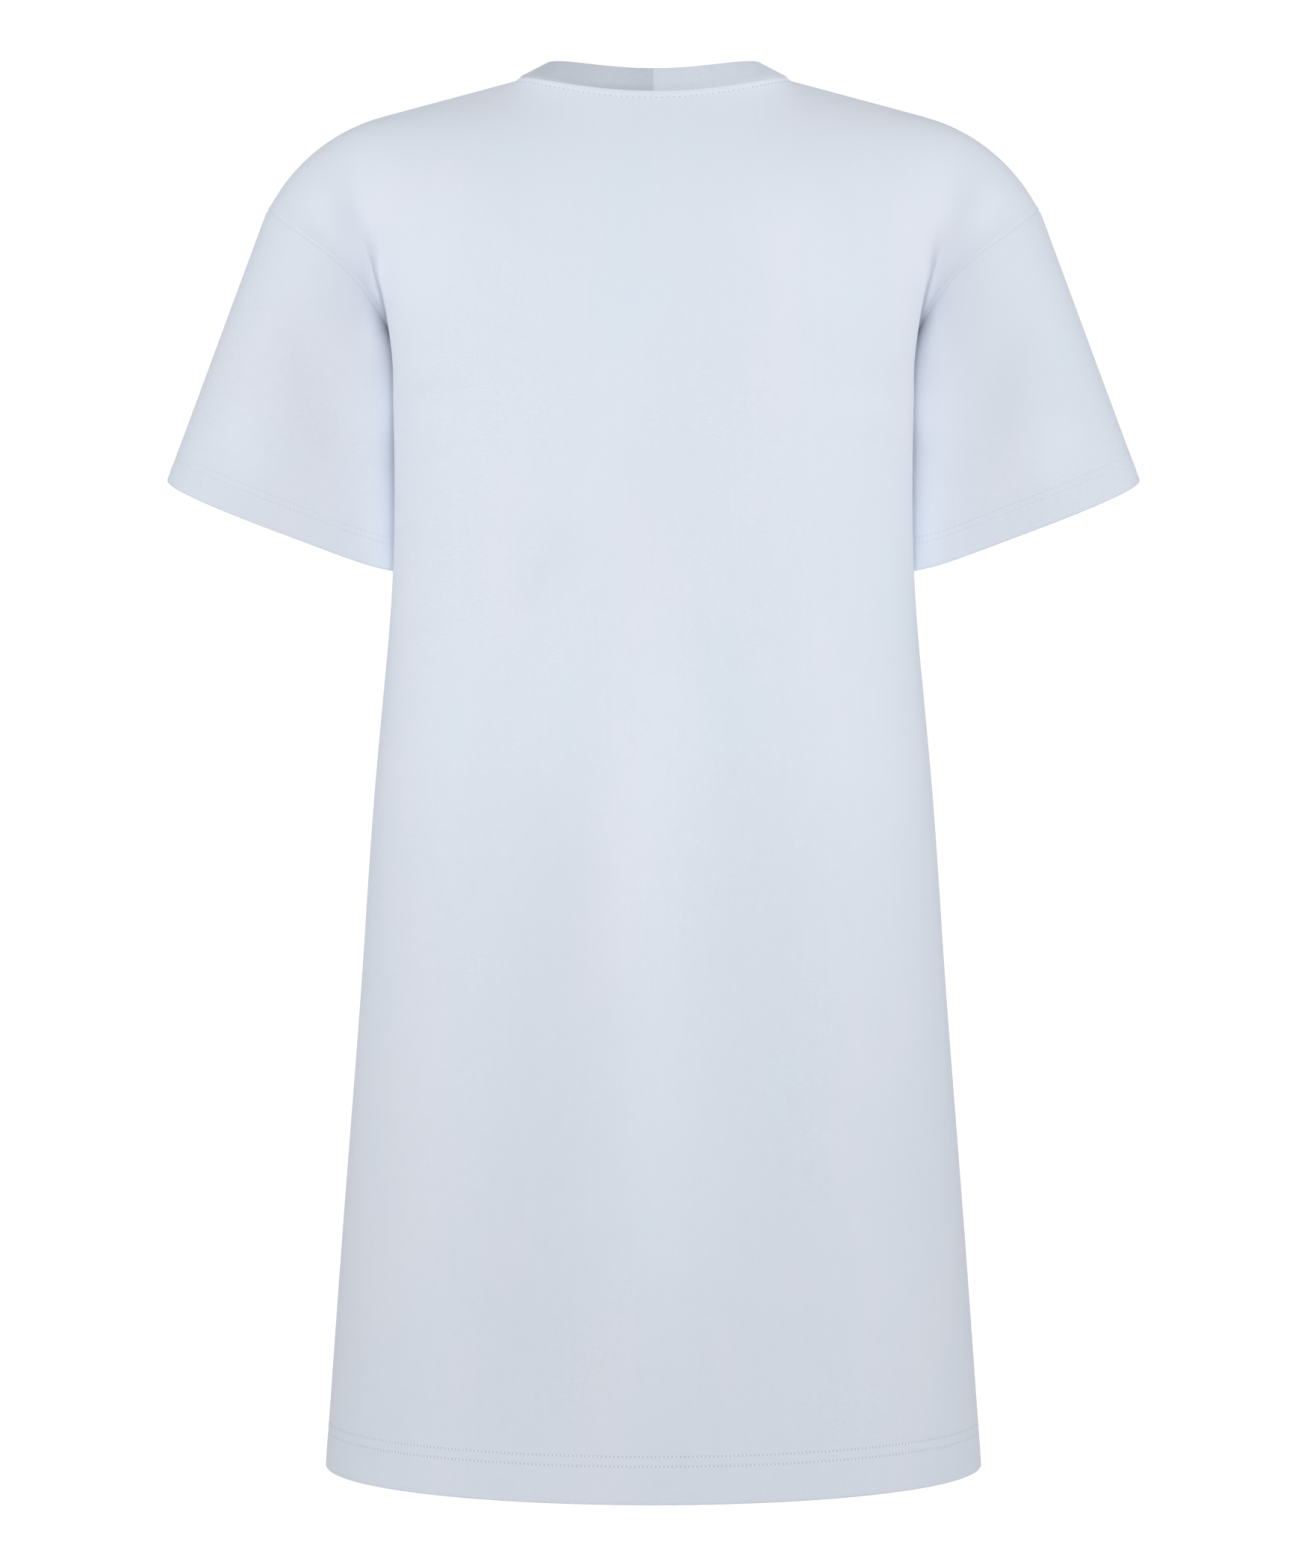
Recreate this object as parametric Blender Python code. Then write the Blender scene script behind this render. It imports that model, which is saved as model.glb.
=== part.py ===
# A short-sleeved jersey nightshirt, filled out as it is worn with nobody in it.
# Metres, +Z up, the front towards -Y. The origin lies midway between the two high
# points of the shoulders, where the wearer's shoulders hold it up.

import math

import bmesh
import bpy
import numpy as np

# Cloth: one layer of heavy jersey, turned up once at the hems
WALL = 0.0015
SEAM_GAP = 0.0003
HEM_DEPTH = 0.029
CUFF_HEM_DEPTH = 0.022
HEM_STEP = 0.0015
HEM_ROWS = 3

# Body: the hem, the underarm and the side seam, an angle round from the centre back
HEM_HEIGHT = -0.9265
UNDERARM_HEIGHT = -0.195
SIDE_SEAM_ANGLE = math.radians(95)

# Neck seam, a ring through both high points of the shoulders. The powers round it
# out across and downwards, more so in front.
NECK_HALF_WIDTH = 0.091
NECK_BACK_REACH = 0.066
NECK_FRONT_REACH = 0.080
NECK_BACK_DROP = 0.019
NECK_FRONT_DROP = 0.088
NECK_BACK_POWERS = (1.0, 2.0)
NECK_FRONT_POWERS = (0.90, 1.6)
NECK_BACK_RISE = math.radians(62)
NECK_FRONT_RISE = math.radians(40)

# Folded rib neckband, standing up and leaning in from the neck seam
BAND_HEIGHT = 0.023
BAND_THICKNESS = 0.003
BAND_LEAN_SIDE = math.radians(62)
BAND_LEAN_BACK = math.radians(40)
BAND_LEAN_FRONT = math.radians(35)
BAND_FOLD_TURNS = (0, 30, 55, 80)

# Shoulder seam: a straight slope, then an arc over the upper arm
SHOULDER_SLOPE = math.radians(15)
SHOULDER_STRAIGHT = 0.094
SHOULDER_ARC_RADIUS = 0.121
SHOULDER_ARC_END = math.radians(63.5)
SHOULDER_SEAM_FORWARD = 0.005

# Armhole: a tilted ring from the underarm up over the outside of the arm
ARMHOLE_REACH_BACK = 0.060
ARMHOLE_REACH_FRONT = 0.062
ARMHOLE_BOW = 0.010
ARMHOLE_BOW_LOW = 0.8
ARMHOLE_POINT = 1.15
ARMHOLE_POINT_POWER = 3
ARM_START = 0.60
ARM_SPREAD = 1.6

# Where a yoke column turns from the neck's lean to the shoulder's, in neck widths
LEAN_CHANGE_START = 0.5
LEAN_CHANGE_END = 1.25

# Sleeve: a tube from the armhole to a flatter cuff, hanging out and a little forward.
# The cuff's side next to the body is squarer than its outer one.
CUFF_OUTER = (0.3275, -0.018, -0.2665)
CUFF_INNER = (0.1680, -0.018, -0.3265)
CUFF_HALF_DEPTH = 0.052
CUFF_SQUARENESS = 2.4
CUFF_INNER_SQUARENESS = 4.0
CUFF_TILT = math.radians(10)

# Horizontal sections of the body. dent is how far each arm presses the side in.
SECTION_COLUMNS = ("height", "half_width", "back", "front", "squareness", "dent")
SECTIONS = (
    (-0.9265, 0.2190, 0.146, 0.146, 2.00, 0.000),
    (-0.7800, 0.2085, 0.140, 0.141, 2.05, 0.000),
    (-0.6200, 0.1962, 0.134, 0.136, 2.10, 0.000),
    (-0.4500, 0.1848, 0.127, 0.135, 2.20, 0.001),
    (-0.3900, 0.1812, 0.125, 0.136, 2.28, 0.004),
    (-0.3400, 0.1790, 0.123, 0.137, 2.36, 0.010),
    (-0.3000, 0.1785, 0.122, 0.138, 2.44, 0.019),
    (-0.2600, 0.1787, 0.121, 0.138, 2.52, 0.027),
    (-0.2250, 0.1793, 0.120, 0.136, 2.58, 0.029),
    (-0.1950, 0.1800, 0.119, 0.133, 2.60, 0.020),
)
DENT_ANGLE = math.radians(98)
DENT_SPREAD = math.radians(20)
DENT_POWER = 4

# Fold beside each armhole, where the body's cloth stands over the arm's. side is
# the fold's distance from the middle.
FOLD_COLUMNS = ("height", "side", "back_depth", "front_depth", "width")
FOLDS = (
    (-0.2050, 0.181, 0.0000, 0.0000, 0.013),
    (-0.1765, 0.182, 0.0015, 0.0015, 0.013),
    (-0.1465, 0.184, 0.0045, 0.0040, 0.013),
    (-0.1265, 0.186, 0.0060, 0.0050, 0.014),
    (-0.0965, 0.189, 0.0045, 0.0035, 0.015),
    (-0.0615, 0.195, 0.0020, 0.0015, 0.017),
    (-0.0300, 0.202, 0.0000, 0.0000, 0.019),
)

# How finely the pieces are divided
NECK_COLUMNS = 8
SHOULDER_COLUMNS = 13
SKIRT_ROWS = 16
SKIRT_ROW_GROWTH = 1.14
YOKE_ROWS = 12
SLEEVE_ROWS = 7
BAND_ROWS = 3
FOLD_CLEAR_COLUMNS = 3
RELAX_PASSES = 12
RELAX_FADE_ROWS = 2
RELAX_LESS_BY_ARM = 0.9
RELAX_ARM_START = 0.45
RELAX_ARM_END = 0.75
CURVE_SAMPLES = 240
CREASE_OPENING = 0.35
WELD = 0.00001
SHARP_ANGLE = math.radians(50)

JERSEY_COLOUR = (0.72, 0.78, 0.88, 1)
JERSEY_ROUGHNESS = 0.90
RIB_COLOUR = (0.68, 0.74, 0.84, 1)
RIB_ROUGHNESS = 0.92


def smoothstep(start, end, value):
    t = min(1.0, max(0.0, (value - start) / (end - start)))
    return t * t * (3 - 2 * t)


def mix(a, b, t):
    return np.asarray(a, float) * (1 - t) + np.asarray(b, float) * t


def unit(vectors):
    return vectors / np.linalg.norm(vectors, axis=-1, keepdims=True)


def tangents(line, closed):
    # Directions along a line of points; a closed one ends on its first point
    ways = np.gradient(line, axis=0)
    if closed:
        ways[0] = ways[-1] = line[1] - line[-2]
    return unit(ways)


def bent(value, power):
    # A sine or cosine raised to a power, with its sign kept
    return math.copysign(abs(value) ** power, value)


def table_value(columns, rows, column, height):
    # A smooth curve through one column of a table, read at a height
    k = columns.index(column)
    heights = [row[0] for row in rows]
    values = [row[k] for row in rows]
    slopes = np.gradient(values, heights)
    height = min(max(height, heights[0]), heights[-1])
    i = min(max(int(np.searchsorted(heights, height)) - 1, 0), len(heights) - 2)
    step = heights[i + 1] - heights[i]
    t = (height - heights[i]) / step
    start = (2 * t**3 - 3 * t**2 + 1) * values[i] + (t**3 - 2 * t**2 + t) * step * slopes[i]
    end = (3 * t**2 - 2 * t**3) * values[i + 1] + (t**3 - t**2) * step * slopes[i + 1]
    return start + end


def section_value(column, height):
    return table_value(SECTION_COLUMNS, SECTIONS, column, height)


def fold_value(column, height):
    return table_value(FOLD_COLUMNS, FOLDS, column, height)


def body_point(height, angle):
    # angle runs from 0 at the centre back to half a turn at the centre front
    power = 2 / section_value("squareness", height)
    across = bent(math.sin(angle), power)
    along = bent(math.cos(angle), power)
    reach = section_value("back" if along > 0 else "front", height)
    pressed = math.exp(-(((angle - DENT_ANGLE) / DENT_SPREAD) ** DENT_POWER))
    half_width = section_value("half_width", height) - section_value("dent", height) * pressed
    return np.array([half_width * across, reach * along, height])


def evenly(points, count):
    # count + 1 points at equal steps along a line of many points
    points = np.asarray(points)
    steps = np.linalg.norm(np.diff(points, axis=0), axis=1)
    run = np.concatenate([[0], np.cumsum(steps)])
    wanted = np.linspace(0, run[-1], count + 1)
    return np.stack([np.interp(wanted, run, points[:, k]) for k in range(3)], axis=1)


def shoulder_length():
    arc = SHOULDER_ARC_END - SHOULDER_SLOPE
    return SHOULDER_STRAIGHT + SHOULDER_ARC_RADIUS * arc


def shoulder_point(run):
    # run is the length along the shoulder seam from its high point
    straight = min(run, SHOULDER_STRAIGHT)
    turned = SHOULDER_SLOPE + (run - straight) / SHOULDER_ARC_RADIUS
    x = NECK_HALF_WIDTH + straight * math.cos(SHOULDER_SLOPE)
    x += SHOULDER_ARC_RADIUS * (math.sin(turned) - math.sin(SHOULDER_SLOPE))
    z = -straight * math.sin(SHOULDER_SLOPE)
    z += SHOULDER_ARC_RADIUS * (math.cos(turned) - math.cos(SHOULDER_SLOPE))
    return np.array([x, -SHOULDER_SEAM_FORWARD * run / shoulder_length(), z])


def neck_point(angle, front):
    # angle 0 is the high point of the shoulder, a quarter turn is the centre
    reach = -NECK_FRONT_REACH if front else NECK_BACK_REACH
    drop = NECK_FRONT_DROP if front else NECK_BACK_DROP
    across_power, down_power = NECK_FRONT_POWERS if front else NECK_BACK_POWERS
    x = NECK_HALF_WIDTH * bent(math.cos(angle), across_power)
    return np.array([x, reach * math.sin(angle), -drop * bent(math.sin(angle), down_power)])


def top_row(front):
    # The neckline from the centre to the shoulder, then the shoulder seam
    turns = np.linspace(math.pi / 2, 0, CURVE_SAMPLES)
    neckline = evenly([neck_point(a, front) for a in turns], NECK_COLUMNS)
    runs = np.linspace(0, shoulder_length(), SHOULDER_COLUMNS + 1)
    return np.concatenate([neckline, [shoulder_point(r) for r in runs[1:]]])


def skirt_row(height, front):
    # Half a panel at one height, from the centre line round to the side seam
    angles = np.linspace(math.pi if front else 0, SIDE_SEAM_ANGLE, CURVE_SAMPLES)
    row = [body_point(height, a) for a in angles]
    return evenly(row, NECK_COLUMNS + SHOULDER_COLUMNS)


def armhole_point(share, front):
    # share runs from 0 at the underarm to 1 at the end of the shoulder seam
    under = body_point(UNDERARM_HEIGHT, SIDE_SEAM_ANGLE)
    top = shoulder_point(shoulder_length())
    up = (1 - math.cos(math.pi * share)) / 2
    up += ARMHOLE_POINT * share * (1 - share) ** ARMHOLE_POINT_POWER
    point = mix(under, top, up)
    reach = -ARMHOLE_REACH_FRONT if front else ARMHOLE_REACH_BACK
    round_arm = math.sin(math.pi * share)
    inwards = unit(np.array([under[2] - top[2], 0, top[0] - under[0]]))
    bow = ARMHOLE_BOW * round_arm**2 * (1 + ARMHOLE_BOW_LOW * math.cos(math.pi * share))
    return point + inwards * bow + np.array([0, reach * round_arm, 0])


def yoke_column(foot, head, end_turn, share):
    # A rounded rise from the chest section up to the neck or shoulder seam
    turn = share * end_turn
    rise = math.sin(turn) / math.sin(end_turn)
    lean = (1 - math.cos(turn)) / (1 - math.cos(end_turn))
    return foot + (head - foot) * np.array([rise, lean, rise])


def yoke_row(share, front):
    # Half a panel above the underarm, where the outer columns swing to the armhole
    feet = skirt_row(UNDERARM_HEIGHT, front)
    heads = top_row(front)
    neck_rise = NECK_FRONT_RISE if front else NECK_BACK_RISE
    swing = armhole_point(share, front)
    swing -= yoke_column(feet[-1], heads[-1], math.pi / 2, share)
    row = []
    for k, (foot, head) in enumerate(zip(feet, heads)):
        across = k / (len(feet) - 1)
        past_neck = smoothstep(LEAN_CHANGE_START, LEAN_CHANGE_END, k / NECK_COLUMNS)
        end_turn = neck_rise + (math.pi / 2 - neck_rise) * past_neck
        point = yoke_column(foot, head, end_turn, share)
        to_arm = max(0, (across - ARM_START) / (1 - ARM_START))
        row.append(point + swing * to_arm**ARM_SPREAD)
    return np.array(row)


def skirt_heights():
    # The turned-up hem, the step at its top, then rows closing up to the underarm
    fold = HEM_HEIGHT + HEM_DEPTH
    growth = [SKIRT_ROW_GROWTH**k for k in range(SKIRT_ROWS)]
    shares = np.cumsum(growth[::-1]) / sum(growth)
    start = fold + HEM_STEP
    rise = UNDERARM_HEIGHT - start
    return [HEM_HEIGHT, HEM_HEIGHT + HEM_DEPTH / 2, fold, start, *(start + rise * shares)]


def relaxed(surface, underarm_row):
    # The cloth above the underarm evens itself out between its seams
    rows, columns = surface.shape[:2]
    low, high = underarm_row - RELAX_FADE_ROWS, underarm_row + RELAX_FADE_ROWS
    up = [smoothstep(low, high, i) for i in range(1, rows - 1)]
    to_arm = [abs(2 * k / (columns - 1) - 1) for k in range(1, columns - 1)]
    by_arm = [smoothstep(RELAX_ARM_START, RELAX_ARM_END, a) for a in to_arm]
    across = [1 - RELAX_LESS_BY_ARM * b for b in by_arm]
    weights = np.outer(up, across)[:, :, None]
    for _ in range(RELAX_PASSES):
        above_below = surface[2:, 1:-1] + surface[:-2, 1:-1]
        beside = surface[1:-1, 2:] + surface[1:-1, :-2]
        inner = surface[1:-1, 1:-1]
        surface[1:-1, 1:-1] = inner + ((above_below + beside) / 4 - inner) * weights
    return surface


def folded(surface, front):
    # Presses the armhole folds in, and leaves the seams where they are
    column = "front_depth" if front else "back_depth"
    for row in surface[:-1]:
        for k in range(1, len(row) - 1):
            x, y, z = row[k]
            away = (abs(x) - fold_value("side", z)) / fold_value("width", z)
            off_seam = min(1, min(k, len(row) - 1 - k) / FOLD_CLEAR_COLUMNS)
            depth = fold_value(column, z) * math.exp(-(away**2)) * off_seam
            row[k, 1] -= math.copysign(depth, y)
    return surface


def panel_surface(front):
    # Rows from the hem up, columns from the right side seam to the left one
    skirt = [skirt_row(h, front) for h in skirt_heights()]
    yoke = [yoke_row(i / YOKE_ROWS, front) for i in range(1, YOKE_ROWS + 1)]
    left = np.array(skirt + yoke)
    right = left[:, :0:-1] * np.array([-1, 1, 1])
    surface = np.concatenate([right, left], axis=1)
    return folded(relaxed(surface, len(skirt) - 1), front)


def armhole_ring():
    # Once round the arm: up the back from the underarm and down the front
    shares = [i / YOKE_ROWS for i in range(YOKE_ROWS + 1)]
    ring = [armhole_point(s, False) for s in shares]
    return np.array(ring + [armhole_point(s, True) for s in shares[-2::-1]])


def cuff_ring(count):
    outer = np.array(CUFF_OUTER)
    inner = np.array(CUFF_INNER)
    across = (outer - inner) / 2
    along = CUFF_HALF_DEPTH * np.array([0, math.cos(CUFF_TILT), -math.sin(CUFF_TILT)])
    ring = []
    for turn in np.linspace(0, 2 * math.pi, count):
        power = 2 / (CUFF_INNER_SQUARENESS if math.cos(turn) > 0 else CUFF_SQUARENESS)
        place = along * bent(math.sin(turn), power) - across * bent(math.cos(turn), power)
        ring.append((outer + inner) / 2 + place)
    return np.array(ring)


def sleeve_surface():
    # Rows from the armhole to the cuff, columns round the arm from the underarm
    armhole = armhole_ring()
    cuff = cuff_ring(len(armhole))
    length = np.linalg.norm(cuff[YOKE_ROWS] - armhole[YOKE_ROWS])
    hem = 1 - CUFF_HEM_DEPTH / length
    shares = [*np.linspace(0, hem - HEM_STEP / length, SLEEVE_ROWS), hem, (1 + hem) / 2, 1]
    return np.array([mix(armhole, cuff, share) for share in shares])


def neck_ring():
    # The neck seam once round, from the centre back over the left shoulder
    back = top_row(False)[: NECK_COLUMNS + 1]
    front = top_row(True)[: NECK_COLUMNS + 1]
    left = np.concatenate([back, front[-2::-1]])
    right = left[-2::-1] * np.array([-1, 1, 1])
    return np.concatenate([left, right])


def band_surface():
    # The neckband stands on the neck seam and leans in over the neck
    ring = neck_ring()
    middle = np.array([0, ring[:, 1].mean(), 0])
    along = tangents(ring, True)
    round_part = BAND_THICKNESS / 2
    straight = BAND_HEIGHT - round_part
    rises = list(np.linspace(0, straight, BAND_ROWS, endpoint=False))
    rises += [straight + round_part * math.sin(t) for t in np.radians(BAND_FOLD_TURNS)]
    rows = np.zeros((len(rises), *ring.shape))
    for k, foot in enumerate(ring):
        way = along[k]
        inward = (middle - foot) * np.array([1, 1, 0])
        inward = unit(inward - way * inward.dot(way))
        upright = np.cross(way, inward)
        upright *= math.copysign(1, upright[2])
        side = abs(foot[0]) / NECK_HALF_WIDTH
        centre_lean = BAND_LEAN_FRONT if foot[1] < 0 else BAND_LEAN_BACK
        lean = mix(centre_lean, BAND_LEAN_SIDE, side**2)
        direction = upright * math.cos(lean) + inward * math.sin(lean)
        rows[:, k] = foot + np.outer(rises, direction)
    return rows[:, ::-1]


def sewn_normals(surfaces):
    # Normals at all points, as if the pieces were already sewn into one skin
    points = np.concatenate([s.reshape(-1, 3) for s in surfaces])
    places, index = np.unique(np.round(points, 6), axis=0, return_inverse=True)
    index = index.reshape(-1)
    total = np.zeros_like(places)
    low, high = slice(None, -1), slice(1, None)
    cuts = np.cumsum([0] + [s.shape[0] * s.shape[1] for s in surfaces])
    for surface, start, end in zip(surfaces, cuts[:-1], cuts[1:]):
        ids = index[start:end].reshape(surface.shape[:2])
        corners = ((low, low), (low, high), (high, high), (high, low))
        a, b, c, d = (surface[corner] for corner in corners)
        facing = np.cross(c - a, d - b).reshape(-1, 3)
        for corner in corners:
            np.add.at(total, ids[corner].reshape(-1), facing)
    found = unit(total)[index]
    return [found[a:b].reshape(s.shape) for s, a, b in zip(surfaces, cuts[:-1], cuts[1:])]


def cut_edges(round_it):
    # Each cut edge of a piece's grid, with the line of points next to it
    every = slice(None)
    edges = [((0, every), (1, every)), ((-1, every), (-2, every))]
    if not round_it:
        edges += [((every, 0), (every, 1)), ((every, -1), (every, -2))]
    return edges


def wall_normals(surfaces, round_its):
    # Sewn normals, but each piece's own where the seam folds in, as under the arm
    chosen = []
    for surface, sewn, round_it in zip(surfaces, sewn_normals(surfaces), round_its):
        opening = np.zeros((*surface.shape[:2], 1))
        for edge, inside in cut_edges(round_it):
            way = unit(surface[inside] - surface[edge])
            opening[edge] = np.sum(way * sewn[edge], axis=-1, keepdims=True)
        share = np.clip(opening / CREASE_OPENING, 0, 1)
        chosen.append(unit(sewn * (1 - share) + sewn_normals([surface])[0] * share))
    return chosen


def drawn_back(surface, normals, round_it):
    # The cut edges stand off the sewing lines by half the seam gap, square to the
    # cloth and to the seam
    moved = surface.copy()
    for edge, inside in cut_edges(round_it):
        along = tangents(surface[edge], round_it)
        way = surface[inside] - surface[edge]
        for other in (along, unit(np.cross(along, np.cross(normals[edge], along)))):
            way = way - other * np.sum(way * other, axis=-1, keepdims=True)
        moved[edge] += unit(way) * SEAM_GAP / 2
    return moved


def cloth_wall(name, outer, inward, round_it, material):
    # A grid laid on the outer surface, then extruded inwards to a closed wall.
    # round_it says that the last column is the first one again, as on a tube.
    rows, columns = outer.shape[:2]
    bm = bmesh.new()
    bmesh.ops.create_grid(bm, x_segments=columns - 1, y_segments=rows - 1, size=1)
    step_in = bm.verts.layers.float_vector.new("step_in")
    for vert, place, step in zip(bm.verts, outer.reshape(-1, 3), inward.reshape(-1, 3)):
        vert.co = place
        vert[step_in] = step
    if round_it:
        bmesh.ops.remove_doubles(bm, verts=list(bm.verts), dist=WELD)
    grown = bmesh.ops.extrude_face_region(bm, geom=list(bm.faces))["geom"]
    for vert in (item for item in grown if isinstance(item, bmesh.types.BMVert)):
        vert.co += vert[step_in]
    bmesh.ops.recalc_face_normals(bm, faces=list(bm.faces))
    bm.verts.layers.float_vector.remove(step_in)
    mesh = bpy.data.meshes.new(name)
    bm.to_mesh(mesh)
    bm.free()
    mesh.shade_smooth()
    mesh.set_sharp_from_angle(angle=SHARP_ANGLE)
    mesh.materials.append(material)
    garment.objects.link(bpy.data.objects.new(name, mesh))


def panel_or_sleeve(name, surface, normals, hem_first, round_it, material):
    # One layer of cloth, with the turned-up hem as a second one inside
    thickness = np.full(len(surface), WALL)
    thickness[:HEM_ROWS] += WALL
    if not hem_first:
        thickness = thickness[::-1]
    inward = -normals * thickness[:, None, None]
    cloth_wall(name, drawn_back(surface, normals, round_it), inward, round_it, material)


def neckband(surface, normals, material):
    # The rib is folded at its top, where both faces round into each other
    turns = np.radians([0] * BAND_ROWS + list(BAND_FOLD_TURNS))
    set_back = (1 - np.cos(turns))[:, None, None] * BAND_THICKNESS / 2
    outer = drawn_back(surface, normals, True) - normals * set_back
    cloth_wall("neckband", outer, -normals * (BAND_THICKNESS - 2 * set_back), True, material)


def cloth_material(name, colour, roughness):
    material = bpy.data.materials.new(name)
    material.use_nodes = True
    shader = material.node_tree.nodes["Principled BSDF"]
    shader.inputs["Base Color"].default_value = colour
    shader.inputs["Roughness"].default_value = roughness
    shader.inputs["Metallic"].default_value = 0
    return material


def build_nightshirt():
    jersey = cloth_material("jersey", JERSEY_COLOUR, JERSEY_ROUGHNESS)
    rib = cloth_material("rib", RIB_COLOUR, RIB_ROUGHNESS)
    to_right = np.array([-1, 1, 1])
    sleeve = sleeve_surface()
    surfaces = [
        panel_surface(False)[:, ::-1],
        panel_surface(True),
        sleeve,
        (sleeve * to_right)[:, ::-1],
        band_surface(),
    ]
    normals = wall_normals(surfaces, (False, False, True, True, True))
    back, front, left, right, band = zip(surfaces, normals)
    panel_or_sleeve("back", *back, True, False, jersey)
    panel_or_sleeve("front", *front, True, False, jersey)
    panel_or_sleeve("sleeve_left", *left, False, True, jersey)
    panel_or_sleeve("sleeve_right", *right, False, True, jersey)
    neckband(*band, rib)


for old in list(bpy.data.objects):
    bpy.data.objects.remove(old)
garment = bpy.data.collections.new("nightshirt")
bpy.context.scene.collection.children.link(garment)
build_nightshirt()
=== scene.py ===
# A pale blue jersey nightshirt seen from behind, filled out as it is worn with
# nobody in it. Metres, +Z up, its front towards -Y, its shoulders at the origin.

import math

import bpy
import numpy as np
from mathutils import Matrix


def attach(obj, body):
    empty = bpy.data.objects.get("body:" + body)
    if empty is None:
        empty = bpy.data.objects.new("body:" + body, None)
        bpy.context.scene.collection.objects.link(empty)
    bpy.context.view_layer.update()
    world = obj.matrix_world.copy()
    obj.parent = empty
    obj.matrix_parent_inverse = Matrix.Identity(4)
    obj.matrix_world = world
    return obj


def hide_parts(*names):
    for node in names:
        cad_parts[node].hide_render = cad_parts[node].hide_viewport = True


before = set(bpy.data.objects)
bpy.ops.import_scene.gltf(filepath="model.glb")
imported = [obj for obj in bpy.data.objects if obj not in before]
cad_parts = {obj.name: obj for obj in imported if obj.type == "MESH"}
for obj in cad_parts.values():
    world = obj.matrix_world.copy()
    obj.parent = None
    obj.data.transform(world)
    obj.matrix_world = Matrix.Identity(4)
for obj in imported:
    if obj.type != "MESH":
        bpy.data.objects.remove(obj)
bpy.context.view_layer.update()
scene = bpy.context.scene
print("nightshirt: frame loaded")


# Camera, straight behind at half height, as the picture seems to have been taken
camera = {"distance": 2.5, "height": -0.4715, "lens": 85.714, "sensor": 36.0}

cameraData = bpy.data.cameras.new("camera")
cameraData.sensor_fit = "VERTICAL"
cameraData.sensor_height = camera["sensor"]
cameraData.lens = camera["lens"]
cameraObject = bpy.data.objects.new("camera", cameraData)
cameraObject.location = (0, camera["distance"], camera["height"])
cameraObject.rotation_euler = (math.radians(90), 0, math.radians(180))
scene.collection.objects.link(cameraObject)
scene.camera = cameraObject


# Plain pale floor, as far below as a wearer's feet, and soft studio light
studio = {
    "floorHeight": -1.45,
    "floorRadius": 1.9,
    "roomColour": (0.97, 0.985, 1.0, 1),
    "roomLight": 0.5,
    "backdrop": 1.05,
    # name, place, size, watts, colour
    "lights": (
        ("behind", (0.0, 2.45, 0.0), (0.9, 0.6), 21, (1.0, 1.0, 1.0)),
        ("sideLeft", (2.30, 0.40, 0.1), (0.9, 1.3), 13, (1.0, 1.0, 1.0)),
        ("sideRight", (-2.30, 0.40, 0.1), (0.9, 1.3), 13, (1.0, 1.0, 1.0)),
        ("high", (0.0, 2.2, 1.3), (1.6, 1.0), 6, (1.0, 1.0, 1.0)),
        ("front", (0.0, -2.6, 0.1), (1.8, 1.3), 36, (1.0, 1.0, 1.0)),
    ),
}


def makeStudio():
    bpy.ops.object.select_all(action="DESELECT")
    bpy.ops.mesh.primitive_circle_add(
        vertices=96, radius=studio["floorRadius"], fill_type="NGON",
        location=(0, 0, studio["floorHeight"]),
    )
    floor = bpy.context.object
    floor.name = "floor"
    for name, place, size, watts, colour in studio["lights"]:
        lamp = bpy.data.lights.new(name, "AREA")
        lamp.shape = "RECTANGLE"
        lamp.size, lamp.size_y = size
        lamp.energy = watts
        lamp.color = colour
        lampObject = bpy.data.objects.new(name, lamp)
        lampObject.location = place
        aim = np.array([0, 0, -0.4]) - np.array(place)
        turn = math.atan2(aim[1], aim[0]) - math.pi / 2
        tip = math.atan2(aim[2], math.hypot(aim[0], aim[1]))
        lampObject.rotation_euler = (math.pi / 2 + tip, 0, turn)
        scene.collection.objects.link(lampObject)
    world = scene.world or bpy.data.worlds.new("room")
    scene.world = world
    world.use_nodes = True
    nodes, links = world.node_tree.nodes, world.node_tree.links
    nodes.clear()
    out = nodes.new("ShaderNodeOutputWorld")
    mixer = nodes.new("ShaderNodeMixShader")
    seen = nodes.new("ShaderNodeLightPath")
    room = nodes.new("ShaderNodeBackground")
    room.inputs["Color"].default_value = studio["roomColour"]
    room.inputs["Strength"].default_value = studio["roomLight"]
    paper = nodes.new("ShaderNodeBackground")
    paper.inputs["Color"].default_value = (1, 1, 1, 1)
    paper.inputs["Strength"].default_value = studio["backdrop"]
    links.new(seen.outputs["Is Camera Ray"], mixer.inputs["Fac"])
    links.new(room.outputs["Background"], mixer.inputs[1])
    links.new(paper.outputs["Background"], mixer.inputs[2])
    links.new(mixer.outputs["Shader"], out.inputs["Surface"])
    scene.view_settings.view_transform = "Standard"
    return floor


floor = makeStudio()
print("nightshirt: camera, floor and lights placed")


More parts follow.
